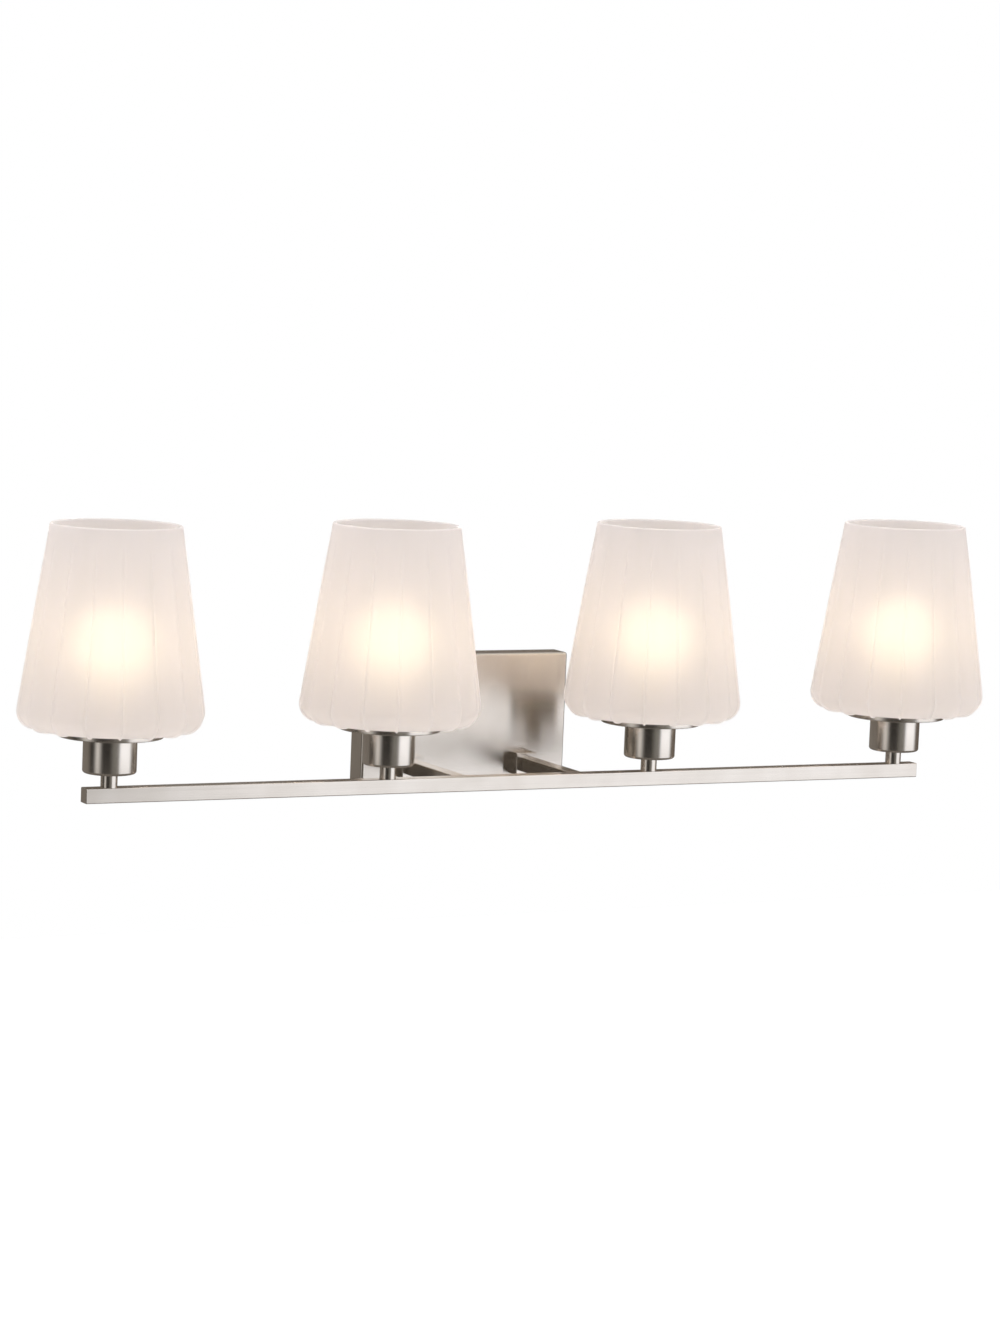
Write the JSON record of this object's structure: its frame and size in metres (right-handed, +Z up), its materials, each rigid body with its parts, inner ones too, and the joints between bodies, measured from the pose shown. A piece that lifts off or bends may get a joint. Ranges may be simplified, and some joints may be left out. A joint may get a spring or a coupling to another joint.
{
  "type": "vanity light bar",
  "caption": "Wall-mounted vanity light: square brushed-nickel bar on two arms from a rectangular backplate, carrying a row of up-facing ribbed frosted glass shades on round cups.",
  "frame": {"origin": "middle of the backplate's wall face, midway between the two junction-box screws", "axes": "+X along the bar, to the right seen from the room; +Y into the wall; +Z up, towards the open tops of the shades"},
  "size_m": [0.8303, 0.1916, 0.2258],
  "materials": {
    "satin_nickel": "satin, finely brushed",
    "zinc_steel": "zinc-plated, dull",
    "screw_nickel": "plated",
    "green_screw": "green-tinted plating",
    "copper": "bare copper wire",
    "live_insulation": "black lead insulation",
    "neutral_insulation": "white lead insulation",
    "connector_plastic": "orange plastic",
    "brass": "plain",
    "porcelain": "glazed white",
    "ring_plastic": "white phenolic",
    "frosted_glass": "acid-frosted, translucent white",
    "lamp_glass": "soft white coating, lit warm white",
    "lamp_cap": "rolled thin metal"
  },
  "bodies": {
    "fixture": {"arm_collar_left": "satin_nickel", "arm_collar_right": "satin_nickel", "arm_left": "satin_nickel", "arm_lock_washers": "zinc_steel", "arm_nipples": "zinc_steel", "arm_nuts": "zinc_steel", "arm_plugs": "zinc_steel", "arm_right": "satin_nickel", "backplate": "satin_nickel", "bar": "satin_nickel", "bar_end_cap_left": "satin_nickel", "bar_end_cap_right": "satin_nickel", "glass_holder_1": "satin_nickel", "glass_holder_2": "satin_nickel", "glass_holder_3": "satin_nickel", "glass_holder_4": "satin_nickel", "ground_lead": "copper", "ground_screw": "green_screw", "lampholder_1": "porcelain", "lampholder_2": "porcelain", "lampholder_3": "porcelain", "lampholder_4": "porcelain", "lampholder_caps": "zinc_steel", "lampholder_contacts": "brass", "lampholder_terminals": "brass", "light_nipples": "zinc_steel", "light_nuts": "zinc_steel", "live_leads": "live_insulation", "mounting_strap": "zinc_steel", "neutral_leads": "neutral_insulation", "plate_screws": "screw_nickel", "screw_shell_1": "brass", "screw_shell_2": "brass", "screw_shell_3": "brass", "screw_shell_4": "brass", "socket_cup_1": "satin_nickel", "socket_cup_2": "satin_nickel", "socket_cup_3": "satin_nickel", "socket_cup_4": "satin_nickel", "stud_1": "satin_nickel", "stud_2": "satin_nickel", "stud_3": "satin_nickel", "stud_4": "satin_nickel", "wire_connectors": "connector_plastic"},
    "shade_1": {"shade_1": "frosted_glass"},
    "ring_1": {"retaining_ring_1": "ring_plastic"},
    "bulb_1": {"bulb_base_1": "lamp_cap", "bulb_glass_1": "lamp_glass"},
    "shade_2": {"shade_2": "frosted_glass"},
    "ring_2": {"retaining_ring_2": "ring_plastic"},
    "bulb_2": {"bulb_base_2": "lamp_cap", "bulb_glass_2": "lamp_glass"},
    "shade_3": {"shade_3": "frosted_glass"},
    "ring_3": {"retaining_ring_3": "ring_plastic"},
    "bulb_3": {"bulb_base_3": "lamp_cap", "bulb_glass_3": "lamp_glass"},
    "shade_4": {"shade_4": "frosted_glass"},
    "ring_4": {"retaining_ring_4": "ring_plastic"},
    "bulb_4": {"bulb_base_4": "lamp_cap", "bulb_glass_4": "lamp_glass"}
  },
  "joints": [
    {"name": "shade_1_lift", "type": "slide", "parent": "fixture", "child": "shade_1", "axis": [0, 0, 1], "range_m": [0, 0.06]},
    {"name": "ring_1_lift", "type": "slide", "parent": "shade_1", "child": "ring_1", "axis": [0, 0, 1], "range_m": [0, 0.165]},
    {"name": "bulb_1_lift", "type": "slide", "parent": "ring_1", "child": "bulb_1", "axis": [0, 0, 1], "range_m": [0, 0.18]},
    {"name": "shade_2_lift", "type": "slide", "parent": "fixture", "child": "shade_2", "axis": [0, 0, 1], "range_m": [0, 0.06]},
    {"name": "ring_2_lift", "type": "slide", "parent": "shade_2", "child": "ring_2", "axis": [0, 0, 1], "range_m": [0, 0.165]},
    {"name": "bulb_2_lift", "type": "slide", "parent": "ring_2", "child": "bulb_2", "axis": [0, 0, 1], "range_m": [0, 0.18]},
    {"name": "shade_3_lift", "type": "slide", "parent": "fixture", "child": "shade_3", "axis": [0, 0, 1], "range_m": [0, 0.06]},
    {"name": "ring_3_lift", "type": "slide", "parent": "shade_3", "child": "ring_3", "axis": [0, 0, 1], "range_m": [0, 0.165]},
    {"name": "bulb_3_lift", "type": "slide", "parent": "ring_3", "child": "bulb_3", "axis": [0, 0, 1], "range_m": [0, 0.18]},
    {"name": "shade_4_lift", "type": "slide", "parent": "fixture", "child": "shade_4", "axis": [0, 0, 1], "range_m": [0, 0.06]},
    {"name": "ring_4_lift", "type": "slide", "parent": "shade_4", "child": "ring_4", "axis": [0, 0, 1], "range_m": [0, 0.165]},
    {"name": "bulb_4_lift", "type": "slide", "parent": "ring_4", "child": "bulb_4", "axis": [0, 0, 1], "range_m": [0, 0.18]}
  ]
}
